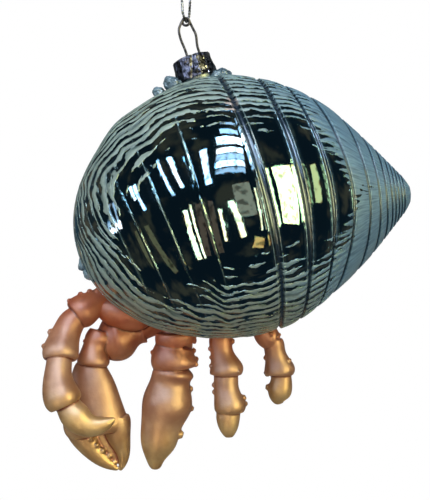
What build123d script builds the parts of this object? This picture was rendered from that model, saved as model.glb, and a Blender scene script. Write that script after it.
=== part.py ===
"""Hanging ornament: a hermit crab in a ribbed glass shell, on a wire hanger and a cord loop.

Millimetres, +Z up. The origin is the top inside of the cord loop, where a hook carries it.
+X points to the shell's tip and +Y away from the viewer.
"""
from build123d import *
from math import atan2, cos, degrees, exp, pi, radians, sin, sqrt, tan
import os

os.makedirs("parts", exist_ok=True)

overrun = 1.0  # how far every cut runs past its face

# Cord loop, straight down from the hook to the hanger's eye
loop_drop = 50.0
cord_diameter = 0.8
cord_arc_share = 0.45
knot_width = 2.9
knot_wraps = 3
tail_length = 4.0
tail_angle = 24.0

# Wire hanger: a coiled eye above two legs that pass through the cap
wire_diameter = 0.7
eye_bore = 1.4
eye_corners = 9
eye_pitch = 0.75
eye_height = 11.0
eye_shift = 2.1
eye_start_angle = 146.6
eye_turns_angle = 506.6
leg_spacing = 3.9
leg_shift = 1.1
leg_length = 14.0
leg_splay = 0.5
bow_height = 8.7
bend_radius = 2.8
eye_arc_share = 0.95

# Crown cap, leaning to the left with the shell's neck
cap_angle = 18.5
cap_height = 6.6
cap_top_diameter = 11.2
cap_flare = 1.2
cap_wall = 0.4
crimp_count = 14
crimp_diameter = 1.5
crimp_proud = 0.15
hole_clearance = 0.3

# Glass shell
shell_length = 101.3
shell_radius = 38.5
shell_angle = 4.5
belly_share = 0.455
taper_power = 2.03
tip_radius = 5.1
tip_reach = 4.75
glass_wall = 0.8
rib_rise_share = 0.08
neck_station_share = 0.40
neck_clearance = 0.1
neck_wall = 1.0
neck_height = 5.6
cap_seat_rise = 0.8
lug_span = 20.6
lug_width = 9.0
lug_height = 2.6
lug_edge = 0.8

# Mouth of the shell, on its underside, and the crab body that fills it
mouth_length = 58.8
mouth_width = 22.0
mouth_angle = 11.4
mouth_back = 9.0
mouth_station_share = 0.3194
mouth_inset = 6.9
glue_gap = 0.15
body_recess = 0.5
body_thickness = 9.0

# How far each limb reaches down from its seat in the crab body
left_claw_drop = 46.0
right_claw_drop = 46.0
left_front_drop = 34.5
left_rear_drop = 27.2
right_front_drop = 40.4
right_rear_drop = 38.5

# Frames: the cap stands on the eye's chain, the shell on the cap, the mouth on the shell
eye_centre = Vector(0, 0, -loop_drop)


def leaning_frame(origin, lean):
    """A frame whose X rises to the right by lean degrees, with Z up along the piece."""
    across = Vector(cos(radians(lean)), 0, sin(radians(lean)))
    upward = Vector(-sin(radians(lean)), 0, cos(radians(lean)))
    return Plane(origin=origin, x_dir=across, z_dir=upward)


def local(frame, across, back, upward):
    """The world place of a point given in a frame."""
    return frame.from_local_coords(Vector(across, back, upward))


def radius_at(share):
    """Radius of the shell's smooth outline: a round belly, then a taper to a rounded tip."""
    if share < belly_share:
        return shell_radius * sqrt(1 - (1 - share / belly_share) ** 2)
    taper = shell_radius * (1 - ((share - belly_share) / (1 - belly_share)) ** taper_power)
    from_tip = (1 - share) * shell_length
    return sqrt(taper**2 + 2 * tip_radius * from_tip * exp(-from_tip / tip_reach))


cap_turned = leaning_frame(eye_centre, cap_angle)
cap_frame = leaning_frame(local(cap_turned, -eye_shift, 0, -eye_height), cap_angle)
seat_frame = leaning_frame(local(cap_frame, 0, 0, -cap_height), cap_angle)
neck_foot = local(seat_frame, 0, 0, -cap_seat_rise)
shell_turned = leaning_frame(neck_foot, shell_angle)
neck_station = neck_station_share * shell_length
shell_frame = leaning_frame(
    local(shell_turned, -neck_station, 0, -radius_at(neck_station_share)), shell_angle
)
shell_axis = Axis(shell_frame.origin, shell_frame.x_dir)
shell_profile = Plane(shell_frame.origin, x_dir=shell_frame.x_dir, z_dir=-shell_frame.y_dir)
mouth_depth = sqrt(radius_at(mouth_station_share) ** 2 - mouth_back**2) - mouth_inset
mouth_centre = local(shell_frame, mouth_station_share * shell_length, mouth_back, -mouth_depth)
mouth_frame = leaning_frame(mouth_centre, -mouth_angle)

# Grooves between the shell's ribs: broad flutes at the rounded end, closer towards the tip
groove_shares = (
    0.08, 0.18, 0.287, 0.392, 0.494, 0.579, 0.651, 0.696, 0.733, 0.770,
    0.802, 0.831, 0.858, 0.883, 0.906, 0.927, 0.947, 0.965,
)
shell_tip = (shell_length, 0)

# The glass: a ribbed outline with a smooth cavity one wall inside it
with BuildPart() as glass_shell:
    with BuildSketch(shell_profile):
        with BuildLine():
            grooves = [Vector(share * shell_length, radius_at(share)) for share in groove_shares]
            TangentArc((0, 0), grooves[0], tangent=(0, 1))
            for start, end in zip(grooves, grooves[1:]):
                outward = (end - start).rotate(Axis.Z, 90) * rib_rise_share
                ThreePointArc(start, (start + end) * (1 / 2) + outward, end)
            TangentArc(shell_tip, grooves[-1], tangent=(0, 1))
            Line(shell_tip, (0, 0))
        make_face()
    revolve(axis=shell_axis)

    # Two moulded lugs beside the cap: a rounded bar across the neck, cleared where the cap sits
    lug_frame = leaning_frame(neck_foot, (cap_angle + shell_angle) / 2)
    with BuildSketch(lug_frame.offset(lug_height)):
        SlotOverall(lug_span, lug_width)
    extrude(amount=-(lug_height + cap_height))
    lug_rims = glass_shell.faces().sort_by(Axis(neck_foot, lug_frame.z_dir))[-1].edges()
    fillet(lug_rims, lug_edge)
    cap_foot_radius = (cap_top_diameter + cap_flare) / 2 + crimp_proud
    with BuildSketch(seat_frame):
        Circle(cap_foot_radius + neck_clearance)
    extrude(amount=cap_height, mode=Mode.SUBTRACT)
    with BuildSketch(seat_frame):
        Circle(cap_foot_radius + neck_clearance)
    extrude(amount=-cap_height)

    # Neck inside the cap
    neck_radius = cap_top_diameter / 2 - cap_wall - neck_clearance
    with BuildSketch(seat_frame):
        Circle(neck_radius)
    extrude(amount=neck_height)

    # Cavity, neck bore and mouth
    cavity_length = shell_length - 2 * glass_wall
    cavity_shares = (0.01, 0.05, 0.12, 0.22, 0.32, 0.42, 0.52, 0.64, 0.76, 0.88, 0.95)
    cavity_end_share = 0.98
    with BuildSketch(shell_profile):
        with BuildLine():
            cavity_start = (glass_wall, 0)
            cavity_end = (glass_wall + cavity_end_share * cavity_length, 0)
            Spline(
                cavity_start,
                *[
                    (
                        glass_wall + share * cavity_length,
                        radius_at(share) * (1 - glass_wall / shell_radius),
                    )
                    for share in cavity_shares
                ],
                cavity_end,
            )
            Line(cavity_end, cavity_start)
        make_face()
    revolve(axis=shell_axis, mode=Mode.SUBTRACT)
    with BuildSketch(seat_frame.offset(neck_height + overrun)):
        Circle(neck_radius - neck_wall)
    extrude(amount=-(neck_height + cap_height + 2 * overrun), mode=Mode.SUBTRACT)
    with BuildSketch(mouth_frame.offset(-mouth_depth)):
        SlotOverall(mouth_length, mouth_width)
    extrude(amount=mouth_depth + body_thickness, mode=Mode.SUBTRACT)
glass_shell.part.label = "glass_shell"
export_step(glass_shell.part, "parts/glass_shell.step")

# Limbs. A seat lies in the mouth's frame, at shares of the mouth's length, of its width and of the
# body's thickness. A segment is its flatness and then its sections from the seat outwards, as
# shares of the limb's drop: across, back, up, half width. The first segment is the plain root.
limb_drops = {
    "left_claw": left_claw_drop,
    "right_claw": right_claw_drop,
    "left_front_leg": left_front_drop,
    "left_rear_leg": left_rear_drop,
    "right_front_leg": right_front_drop,
    "right_rear_leg": right_rear_drop,
}
seat_shares = {
    "left_claw": (-0.057, -0.205, -0.49),
    "right_claw": (-0.144, 0.23, -0.79),
    "left_front_leg": (0.173, -0.23, -0.32),
    "left_rear_leg": (0.33, -0.14, 0.07),
    "right_front_leg": (-0.385, 0.02, 0.16),
    "right_rear_leg": (0, 0.27, -0.44),
}
segment_shares = {
    "left_claw": (
        (1.0, ((0, 0, 0, 0.10), (0, 0, -0.11, 0.10))),
        (0.9, ((0, 0, -0.10, 0.136), (0, 0, -0.135, 0.14), (0.015, 0, -0.19, 0.12))),
        (0.9, (
            (0.01, 0, -0.18, 0.115), (-0.012, 0, -0.25, 0.15), (-0.01, 0, -0.31, 0.152),
            (-0.008, 0, -0.335, 0.13),
        )),
        (0.85, (
            (-0.03, 0, -0.32, 0.10), (-0.036, 0, -0.41, 0.133), (-0.05, 0, -0.51, 0.158),
            (-0.07, -0.01, -0.61, 0.16), (-0.10, -0.01, -0.72, 0.134), (-0.116, -0.015, -0.82, 0.12),
            (-0.134, -0.02, -0.905, 0.08), (-0.138, -0.02, -0.965, 0.048), (-0.141, -0.02, -1, 0.015),
        )),
    ),
    "right_claw": (
        (1.0, ((0, 0, 0, 0.085), (-0.13, -0.035, -0.05, 0.085))),
        (0.85, (
            (-0.12, -0.032, -0.046, 0.11), (-0.215, -0.035, -0.08, 0.135), (-0.29, -0.045, -0.108, 0.165),
            (-0.335, -0.06, -0.12, 0.155), (-0.37, -0.08, -0.125, 0.125), (-0.40, -0.10, -0.125, 0.08),
        )),
        (0.9, (
            (-0.40, -0.11, -0.06, 0.068), (-0.43, -0.12, -0.155, 0.08), (-0.44, -0.13, -0.23, 0.10),
            (-0.44, -0.13, -0.262, 0.11), (-0.443, -0.13, -0.285, 0.097),
        )),
        (0.62, (
            (-0.463, -0.13, -0.268, 0.094), (-0.457, -0.13, -0.363, 0.135), (-0.443, -0.13, -0.471, 0.167),
            (-0.436, -0.13, -0.58, 0.198), (-0.428, -0.13, -0.675, 0.217), (-0.415, -0.13, -0.745, 0.19),
        )),
        (0.35, (
            (-0.40, -0.12, -0.70, 0.11), (-0.37, -0.12, -0.80, 0.10), (-0.32, -0.12, -0.89, 0.07),
            (-0.28, -0.12, -0.955, 0.035),
        )),
        (0.9, (
            (-0.53, -0.13, -0.686, 0.097), (-0.505, -0.13, -0.767, 0.093), (-0.443, -0.13, -0.855, 0.073),
            (-0.37, -0.13, -0.93, 0.05), (-0.308, -0.13, -0.973, 0.027), (-0.275, -0.13, -0.993, 0.01),
        )),
        (0.9, (
            (-0.30, -0.13, -0.645, 0.10), (-0.274, -0.13, -0.74, 0.088), (-0.25, -0.13, -0.835, 0.061),
            (-0.237, -0.13, -0.915, 0.037), (-0.25, -0.13, -0.975, 0.02), (-0.26, -0.13, -1, 0.008),
        )),
    ),
    "left_front_leg": (
        (1.0, ((0, 0, 0, 0.085), (0, 0, -0.12, 0.085))),
        (0.95, (
            (0, 0, -0.115, 0.094), (0.005, -0.01, -0.22, 0.10), (0.03, -0.023, -0.333, 0.12),
            (0.053, -0.03, -0.42, 0.15), (0.053, -0.03, -0.46, 0.132),
        )),
        (0.95, (
            (0.045, -0.03, -0.437, 0.10), (0.05, -0.04, -0.55, 0.108), (0.069, -0.052, -0.67, 0.128),
            (0.087, -0.058, -0.75, 0.138), (0.087, -0.058, -0.783, 0.116),
        )),
        (0.95, (
            (0.076, -0.058, -0.757, 0.102), (0.066, -0.07, -0.85, 0.102), (0.072, -0.08, -0.94, 0.075),
            (0.076, -0.087, -1, 0.03),
        )),
    ),
    "left_rear_leg": (
        (1.0, ((0, 0, 0, 0.10), (0.113, 0, -0.147, 0.10))),
        (0.95, ((0.12, 0, -0.15, 0.125), (0.18, 0.007, -0.238, 0.136), (0.238, 0.015, -0.306, 0.107))),
        (0.95, (
            (0.238, 0.015, -0.272, 0.107), (0.262, 0.03, -0.41, 0.119), (0.29, 0.037, -0.524, 0.147),
            (0.314, 0.044, -0.616, 0.176), (0.314, 0.044, -0.667, 0.153),
        )),
        (0.95, (
            (0.322, 0.044, -0.639, 0.12), (0.328, 0.05, -0.776, 0.13), (0.312, 0.059, -0.89, 0.128),
            (0.308, 0.062, -0.954, 0.09), (0.322, 0.066, -1, 0.036),
        )),
    ),
    "right_front_leg": (
        (1.0, ((0, 0, 0, 0.07), (-0.108, 0, -0.073, 0.07))),
        (0.95, (
            (-0.108, -0.01, -0.073, 0.096), (-0.212, -0.05, -0.145, 0.111), (-0.30, -0.08, -0.204, 0.126),
            (-0.325, -0.09, -0.223, 0.111),
        )),
        (0.95, (
            (-0.314, -0.085, -0.215, 0.084), (-0.377, -0.125, -0.32, 0.106), (-0.41, -0.175, -0.435, 0.128),
            (-0.42, -0.21, -0.505, 0.134), (-0.42, -0.223, -0.537, 0.119),
        )),
        (0.95, (
            (-0.424, -0.223, -0.526, 0.093), (-0.424, -0.272, -0.622, 0.10), (-0.408, -0.309, -0.734, 0.125),
            (-0.37, -0.334, -0.825, 0.135), (-0.356, -0.334, -0.854, 0.117),
        )),
        (0.9, (
            (-0.347, -0.334, -0.832, 0.095), (-0.294, -0.346, -0.92, 0.106), (-0.22, -0.36, -0.98, 0.095),
            (-0.138, -0.366, -1, 0.073), (-0.054, -0.37, -0.98, 0.047), (-0.007, -0.37, -0.955, 0.022),
            (0.011, -0.37, -0.943, 0.007),
        )),
    ),
    "right_rear_leg": (
        (1.0, ((0, 0, 0, 0.07), (-0.009, 0.026, -0.127, 0.07))),
        (0.95, (
            (-0.009, 0.026, -0.118, 0.079), (-0.044, 0.078, -0.207, 0.084), (-0.08, 0.117, -0.304, 0.105),
            (-0.089, 0.13, -0.34, 0.093),
        )),
        (0.95, (
            (-0.089, 0.13, -0.323, 0.072), (-0.12, 0.156, -0.453, 0.08), (-0.145, 0.156, -0.555, 0.102),
            (-0.149, 0.156, -0.589, 0.089),
        )),
        (0.95, (
            (-0.149, 0.156, -0.572, 0.072), (-0.165, 0.143, -0.688, 0.08), (-0.177, 0.13, -0.787, 0.093),
            (-0.181, 0.13, -0.816, 0.08),
        )),
        (0.95, (
            (-0.181, 0.13, -0.804, 0.067), (-0.193, 0.117, -0.902, 0.059), (-0.20, 0.104, -0.966, 0.034),
            (-0.205, 0.104, -1, 0.01),
        )),
    ),
}


def sections(name, segment):
    """Each section of a limb's segment: its plane, square to the limb there, and its half axes."""
    flatness, rows = segment
    across, back, thick = seat_shares[name]
    seat = local(mouth_frame, across * mouth_length, back * mouth_width, thick * body_thickness)
    drop = limb_drops[name]
    places = [seat + Vector(x, y, z) * drop for x, y, z, half in rows]
    found = []
    befores = places[:1] + places[:-1]
    afters = places[1:] + places[-1:]
    for before, place, after, row in zip(befores, places, afters, rows):
        onward = (after - before).normalized()
        plane = Plane(origin=place, x_dir=onward.cross(Vector(0, 1, 0)), z_dir=onward)
        found.append((plane, row[-1] * drop, row[-1] * drop * flatness))
    return found


# The crab's body: a moulded plug that follows the shell's outline just inside the mouth
with BuildPart() as crab_body:
    body_shares = (0.02, 0.06, 0.12, 0.20, 0.30, 0.42, 0.55, 0.68, 0.80)
    body_end = (body_shares[-1] * shell_length, 0)
    with BuildSketch(shell_profile):
        with BuildLine():
            outline = Spline(
                *[(share * shell_length, radius_at(share) - body_recess) for share in body_shares]
            )
            Line(outline @ 1, body_end)
            Line(body_end, (body_shares[0] * shell_length, 0))
            Line((body_shares[0] * shell_length, 0), outline @ 0)
        make_face()
    revolve(axis=shell_axis)
    with BuildSketch(mouth_frame.offset(-mouth_depth)):
        SlotOverall(mouth_length - 2 * glue_gap, mouth_width - 2 * glue_gap)
    extrude(amount=mouth_depth + body_thickness, mode=Mode.INTERSECT)

    # Sockets: a round hole along each limb's root, widened for its shoulder
    for name, segments in segment_shares.items():
        for segment in segments[:2]:
            socket_plane, socket_radius, socket_depth = sections(name, segment)[0]
            with BuildSketch(socket_plane):
                Circle(socket_radius + glue_gap)
            extrude(amount=mouth_width, mode=Mode.SUBTRACT)
crab_body.part.label = "crab_body"
export_step(crab_body.part, "parts/crab_body.step")

# The limbs, each one moulding: a plain root, then segments that end in a flared collar
for name, segments in segment_shares.items():
    with BuildPart() as limb:
        for segment in segments:
            for plane, half_width, half_depth in sections(name, segment):
                with BuildSketch(plane):
                    Ellipse(half_width, half_depth)
            loft()
    limb.part.label = name
    export_step(limb.part, f"parts/{name}.step")

# Wire hanger: up from the left leg, round the eye, down the right leg
with BuildPart() as hanger_wire:
    eye_radius = (eye_bore + wire_diameter) / 2
    eye_step = eye_turns_angle / eye_corners
    corner_radius = eye_radius / cos(radians(eye_step / 2))
    coil_rise = eye_pitch * eye_step / 360
    left_leg = leg_shift - leg_spacing / 2
    right_leg = leg_shift + leg_spacing / 2
    coil_back = coil_rise * (eye_corners - 1) / 2
    wire_points = [
        (left_leg - leg_splay, -coil_back, -leg_length),
        (left_leg, -coil_back, -leg_length / 2),
        (left_leg, -coil_back, bow_height),
    ]
    for corner in range(eye_corners):
        angle = radians(eye_start_angle - eye_step * (corner + 1 / 2))
        wire_points.append((
            eye_shift + corner_radius * cos(angle),
            coil_rise * corner - coil_back,
            eye_height + corner_radius * sin(angle),
        ))
    wire_points += [
        (right_leg, coil_back, bow_height - eye_radius * 2),
        (right_leg, coil_back, -leg_length / 2),
        (right_leg + leg_splay, coil_back, -leg_length),
    ]
    wire_radii = [bend_radius, bend_radius / 2] + [eye_arc_share * eye_radius] * eye_corners
    wire_radii += [bend_radius, bend_radius]
    with BuildLine(cap_frame) as wire_line:
        FilletPolyline(*wire_points, radius=wire_radii)
    with BuildSketch(Plane(origin=wire_line.line @ 0, z_dir=wire_line.line % 0)):
        Circle(wire_diameter / 2)
    sweep()
hanger_wire.part.label = "hanger_wire"
export_step(hanger_wire.part, "parts/hanger_wire.step")

# Crown cap: a thin flared cup, crimped down its skirt, with two holes for the wire
with BuildPart() as end_cap:
    flare_angle = atan2(cap_flare / 2, cap_height)
    foot_radius = (cap_top_diameter + cap_flare) / 2
    with BuildSketch(seat_frame):
        Circle(foot_radius)
        with PolarLocations(foot_radius + crimp_proud - crimp_diameter / 2, crimp_count):
            Circle(crimp_diameter / 2)
    extrude(amount=cap_height, taper=degrees(flare_angle))
    with BuildSketch(seat_frame):
        Circle(foot_radius - cap_wall)
    extrude(amount=cap_height - cap_wall, taper=degrees(flare_angle), mode=Mode.SUBTRACT)
    with Locations(cap_frame):
        with Locations((left_leg, -coil_back), (right_leg, coil_back)):
            Hole((wire_diameter + hole_clearance) / 2, depth=2 * cap_wall)
end_cap.part.label = "end_cap"
export_step(end_cap.part, "parts/end_cap.step")

# Cord loop: down in front on the left, through the eye, up behind on the right
cord_route = [
    (-0.5, 0, 0),
    (-0.5, 0, -3),
    (-1.35, -0.5, -11),
    (-1.3, -1.4, -46.5),
    (-0.3, -1.7, -49.85),
    (0.3, 1.7, -49.85),
    (1.3, 1.4, -46.5),
    (1.35, 0.5, -11),
    (0.5, 0, -3),
    (0.5, 0, 0),
]
places = [Vector(*point) for point in cord_route]
cord_radii = []
for before, corner, after in zip(places, places[1:], places[2:]):
    half_turn = radians((corner - before).get_angle(after - corner) / 2)
    shorter_run = min((corner - before).length, (after - corner).length)
    cord_radii.append(cord_arc_share * shorter_run / tan(half_turn))
print("cord radii", [round(radius, 2) for radius in cord_radii])
with BuildPart() as hanging_cord:
    with BuildLine() as cord_line:
        FilletPolyline(*cord_route, radius=cord_radii)
    with BuildSketch(Plane(origin=cord_line.line @ 0, z_dir=cord_line.line % 0)):
        Circle(cord_diameter / 2)
    sweep()
cord_length = cord_line.wires()[0].length
tube_volume = pi * (cord_diameter / 2) ** 2 * cord_length
print("cord length", round(cord_length, 2))
print("cord volume over section times length", round(hanging_cord.part.volume / tube_volume, 4))
hanging_cord.part.label = "hanging_cord"
export_step(hanging_cord.part, "parts/hanging_cord.step")

# Knot above the loop: stacked wraps of the cord and its two cut tails
with BuildPart() as cord_knot:
    knot_rise = knot_wraps * cord_diameter
    knot_core = knot_width - cord_diameter
    with BuildSketch():
        Circle(knot_core / 2)
    extrude(amount=knot_rise)
    for wrap in range(knot_wraps):
        with Locations((0, 0, (wrap + 1 / 2) * cord_diameter)):
            Torus(knot_core / 2, cord_diameter / 2)
    for lean in (-tail_angle, tail_angle):
        with BuildSketch(Plane(origin=(0, 0, knot_rise / 2), z_dir=Vector(0, 0, 1).rotate(Axis.Y, lean))):
            Circle(cord_diameter / 2)
        extrude(amount=knot_rise / 2 + tail_length)
cord_knot.part.label = "cord_knot"
export_step(cord_knot.part, "parts/cord_knot.step")
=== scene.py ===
"""The hermit crab ornament's looks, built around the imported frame. Metres, in the frame's own axes."""
from math import acos, atan2, cos, degrees, exp, pi, radians, sin, sqrt, tan

import bmesh
import bpy
import numpy as np
from mathutils import Matrix, Vector, noise
from mathutils.bvhtree import BVHTree


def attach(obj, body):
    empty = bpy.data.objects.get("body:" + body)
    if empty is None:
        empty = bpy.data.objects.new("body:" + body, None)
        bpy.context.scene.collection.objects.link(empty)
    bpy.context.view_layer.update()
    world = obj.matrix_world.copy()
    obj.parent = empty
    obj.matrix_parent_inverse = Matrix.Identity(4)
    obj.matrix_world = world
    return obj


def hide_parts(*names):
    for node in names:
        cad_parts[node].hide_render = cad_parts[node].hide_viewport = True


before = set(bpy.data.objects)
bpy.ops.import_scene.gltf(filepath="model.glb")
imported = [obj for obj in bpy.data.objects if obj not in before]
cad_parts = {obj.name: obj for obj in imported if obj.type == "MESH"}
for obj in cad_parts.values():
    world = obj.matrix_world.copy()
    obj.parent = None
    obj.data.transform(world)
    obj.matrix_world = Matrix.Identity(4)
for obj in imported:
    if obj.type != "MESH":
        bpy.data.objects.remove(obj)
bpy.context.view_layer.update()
scene = bpy.context.scene
mm = 0.001

# Camera: level, 240 mm in front of the ornament, as the photograph was taken. That is near enough for the
# shell's round end to look larger than its tip.
view_width = radians(34.71)
camera_data = bpy.data.cameras.new("camera")
camera_data.lens = camera_data.sensor_width / 2 / tan(view_width / 2)
camera_data.clip_start = 0.01
camera = bpy.data.objects.new("camera", camera_data)
camera.location = Vector((8.7, -240, -118.4)) * mm
camera.rotation_euler = (pi / 2, 0, 0)
scene.collection.objects.link(camera)
scene.camera = camera

# Stage: a pale floor well below the hanging ornament, which keeps its shadow and is white where the
# camera sees it. The mirror glass shows the room's low panes in its place.
floor_drop, floor_half = -275 * mm, 3


class Nodes:
    """The nodes of one finish, or of the world around the ornament."""

    def __init__(self, tree):
        self.tree = tree

    def make(self, kind, settings=None, sockets=None):
        """A node of a kind. Its settings come first, then the values or links of its sockets."""
        node = self.tree.nodes.new("ShaderNode" + kind)
        for name, setting in (settings or {}).items():
            setattr(node, name, setting)
        for name, item in (sockets or {}).items():
            self.fit(node.inputs[name], item)
        return node

    def fit(self, slot, item):
        """Gives a socket its value, or links it to the socket that the value comes from."""
        item = getattr(item, "socket", item)
        if isinstance(item, bpy.types.NodeSocket):
            self.tree.links.new(item, slot)
        else:
            slot.default_value = item


def shader(name, **constants):
    """A new material with its nodes and its main shader, whose constant sockets are set by name."""
    made = bpy.data.materials.new(name)
    made.use_nodes = True
    main = made.node_tree.nodes["Principled BSDF"]
    for socket, value in constants.items():
        main.inputs[socket.replace("_", " ")].default_value = value
    return made, Nodes(made.node_tree), main


floor_mesh = bmesh.new()
bmesh.ops.create_grid(floor_mesh, x_segments=1, y_segments=1, size=floor_half)
bmesh.ops.translate(floor_mesh, verts=floor_mesh.verts[:], vec=(0, 0, floor_drop))
floor_data = bpy.data.meshes.new("floor")
floor_mesh.to_mesh(floor_data)
floor_mesh.free()
floor = bpy.data.objects.new("floor", floor_data)
scene.collection.objects.link(floor)
floor.visible_glossy = False
floor_paint, tree, main = shader("floor_paint", Base_Color=(0.5, 0.5, 0.5, 1), Roughness=0.9)
seen = tree.make("LightPath").outputs["Is Camera Ray"]
white = tree.make("Emission").outputs[0]
floor_mix = tree.make("MixShader", {}, {0: seen, 1: main.outputs[0], 2: white})
tree.fit(floor_paint.node_tree.nodes["Material Output"].inputs[0], floor_mix.outputs[0])
floor_data.materials.append(floor_paint)

# World: white to the camera, an even fill on the object, and in its mirror glass the dim room that the
# photograph was taken in, with faint patches of furniture and wall.


class Value:
    """One number in a node tree. Sums of values make Math nodes."""

    def __init__(self, tree, socket):
        self.tree = tree
        self.socket = socket

    def math(self, kind, *others):
        node = self.tree.make("Math", {"operation": kind}, dict(enumerate((self, *others))))
        return Value(self.tree, node.outputs[0])

    def __add__(self, other):
        return self.math("ADD", other)

    def __sub__(self, other):
        return self.math("SUBTRACT", other)

    def __mul__(self, other):
        return self.math("MULTIPLY", other)

    def __radd__(self, other):
        return self + other

    def __rsub__(self, other):
        return self * -1 + other

    def __rmul__(self, other):
        return self * other

    def higher(self, other):
        return self.math("MAXIMUM", other)

    def fade(self, start, end):
        """0 before start and 1 after end, with a smooth turn between them."""
        ends = {"Value": self, "From Min": start, "From Max": end}
        node = self.tree.make("MapRange", {"interpolation_type": "SMOOTHSTEP"}, ends)
        return Value(self.tree, node.outputs[0])


def cloud(tree, vector, scale, detail=3.0):
    """Smooth noise around 0.5, with its scale in cells to a metre of the vector."""
    node = tree.make("TexNoise", {}, {"Vector": vector, "Scale": scale, "Detail": detail})
    return Value(tree, node.outputs["Fac"])


def tint(tree, share, first, second):
    """A colour that goes from first to second with share. Either may be a socket."""
    return tree.make("Mix", {"data_type": "RGBA"}, {"Factor": share, 6: first, 7: second}).outputs[2]


studio = bpy.data.worlds.new("studio")
scene.world = studio
studio.use_nodes = True
tree = Nodes(studio.node_tree)
rays = tree.make("LightPath").outputs
direction = tree.make("TexCoord").outputs["Generated"]
room_patches = cloud(tree, direction, 3.4, detail=5).fade(0.50, 0.68)
room_colour = tint(tree, room_patches, (0.03, 0.07, 0.10, 1), (0.34, 0.30, 0.20, 1))
room = tree.make("Background", {}, {"Color": room_colour}).outputs[0]
fill = tree.make("Background", {}, {"Color": (0.96, 0.98, 1, 1), "Strength": 0.42}).outputs[0]
backdrop = tree.make("Background", {}, {"Color": (1, 1, 1, 1)}).outputs[0]
inner = tree.make("MixShader", {}, {0: rays["Is Glossy Ray"], 1: fill, 2: room}).outputs[0]
outer = tree.make("MixShader", {}, {0: rays["Is Camera Ray"], 1: inner, 2: backdrop}).outputs[0]
tree.fit(studio.node_tree.nodes["World Output"].inputs[0], outer)

# Soft boxes and window panes. Each row is its azimuth to the right of the camera, its elevation, its
# width and height and its slant, all in degrees, its strength and its colour. Only the lamps light
# the paint: the others are the windows that the mirror glass shows, one of them pane by pane.


def place(tree):
    """The point being shaded, in the object's own axes."""
    return tree.make("TexCoord").outputs["Object"]


studio_centre = Vector((8, 0, -105)) * mm
studio_radius = 0.9
curtain_shade = 0.3
black = (0, 0, 0, 1)
day_blue = (0.62, 0.8, 1, 1)
day_white = (0.86, 0.94, 1, 1)
warm_white = (1, 0.86, 0.46, 1)
green_white = (0.96, 0.90, 0.36, 1)
lamps = (
    (-25, 48, 34, 30, 0, 5.0, day_white),
    (35, 62, 34, 30, 0, 4.0, day_blue),
    (168, 38, 36, 34, 0, 4.0, day_white),
)
slats = (
    (4, 72, 15, 3, 0, 9.0, day_blue),
    (4, 63, 18, 4.5, 0, 14.0, day_blue),
    (4, 54, 24, 7.5, 0, 44.0, day_white),
    (4, 44.5, 24, 5, 0, 42.0, day_white),
    (4, 38.5, 24, 5, 0, 13.0, day_blue),
    (4, 32.5, 23, 5.5, 0, 36.0, day_blue),
    (4, 26.5, 22, 4, 0, 9.0, day_blue),
)
panes = (
    (-79, -3, 3, 18, 12, 7.0, day_blue),
    (-77, -10, 4, 6, 0, 34.0, day_white),
    (-65, 11, 4, 13, 34, 34.0, day_white),
    (-57, 9, 3.5, 24, 34, 32.0, day_blue),
    (-45, 21.5, 3, 34, 31, 34.0, day_blue),
    (-35, 28.5, 4.5, 29, 28, 34.0, day_white),
    (-18.5, 31, 6, 31, 21, 34.0, day_blue),
    (-25, -24, 3.8, 39, 8, 36.0, warm_white),
    (-18, -21, 3, 43, 10, 36.0, warm_white),
    (0, -17, 2.6, 25, 13, 34.0, warm_white),
    (7.5, -12.5, 3.4, 30, 17, 36.0, warm_white),
    (25, -4, 2, 34, 7, 22.0, warm_white),
    (-49, -33, 8, 40, 15, 1.7, (0.75, 0.62, 0.3, 1)),
    (-10, -19, 7, 42, 8, 1.3, (0.8, 0.5, 0.32, 1)),
    (13, 3, 14, 26, 12, 3.2, (0.9, 0.78, 0.52, 1)),
    (26, -31, 9, 8, 0, 9.0, (1, 0.55, 0.16, 1)),
    (46, 8, 24, 44, 6, 34.0, green_white),
    (68, 14, 6, 26, 0, 8.0, green_white),
)
for number, row in enumerate(lamps + slats + panes):
    azimuth, elevation, width, height, slant, strength, colour = row
    turn, rise = radians(azimuth), radians(elevation)
    away = Vector((sin(turn) * cos(rise), -cos(turn) * cos(rise), sin(rise)))
    box_mesh = bmesh.new()
    bmesh.ops.create_grid(box_mesh, x_segments=1, y_segments=1, size=1)
    half_sizes = (tan(radians(width) / 2), tan(radians(height) / 2), 1)
    bmesh.ops.scale(box_mesh, verts=box_mesh.verts[:], vec=Vector(half_sizes) * studio_radius)
    box_mesh.transform(
        Matrix.Translation(studio_centre + away * studio_radius)
        @ away.to_track_quat("Z", "Y").to_matrix().to_4x4()
        @ Matrix.Rotation(radians(slant), 4, "Z")
    )
    box_data = bpy.data.meshes.new(f"soft_box_{number}")
    box_mesh.to_mesh(box_data)
    box_mesh.free()
    soft_box = bpy.data.objects.new(f"soft_box_{number}", box_data)
    scene.collection.objects.link(soft_box)
    soft_box.visible_camera = False
    soft_box.visible_diffuse = number < len(lamps)
    soft_box.visible_glossy = number >= len(lamps)
    glow, tree, main = shader(f"glow_{number}", Base_Color=black, Emission_Strength=strength)
    dimmer = tuple(part * curtain_shade for part in colour[:3]) + (1.0,)
    curtain = cloud(tree, place(tree), 14, detail=5).fade(0.36, 0.50)
    tree.fit(main.inputs["Emission Color"], tint(tree, curtain, dimmer, colour))
    box_data.materials.append(glow)

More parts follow.
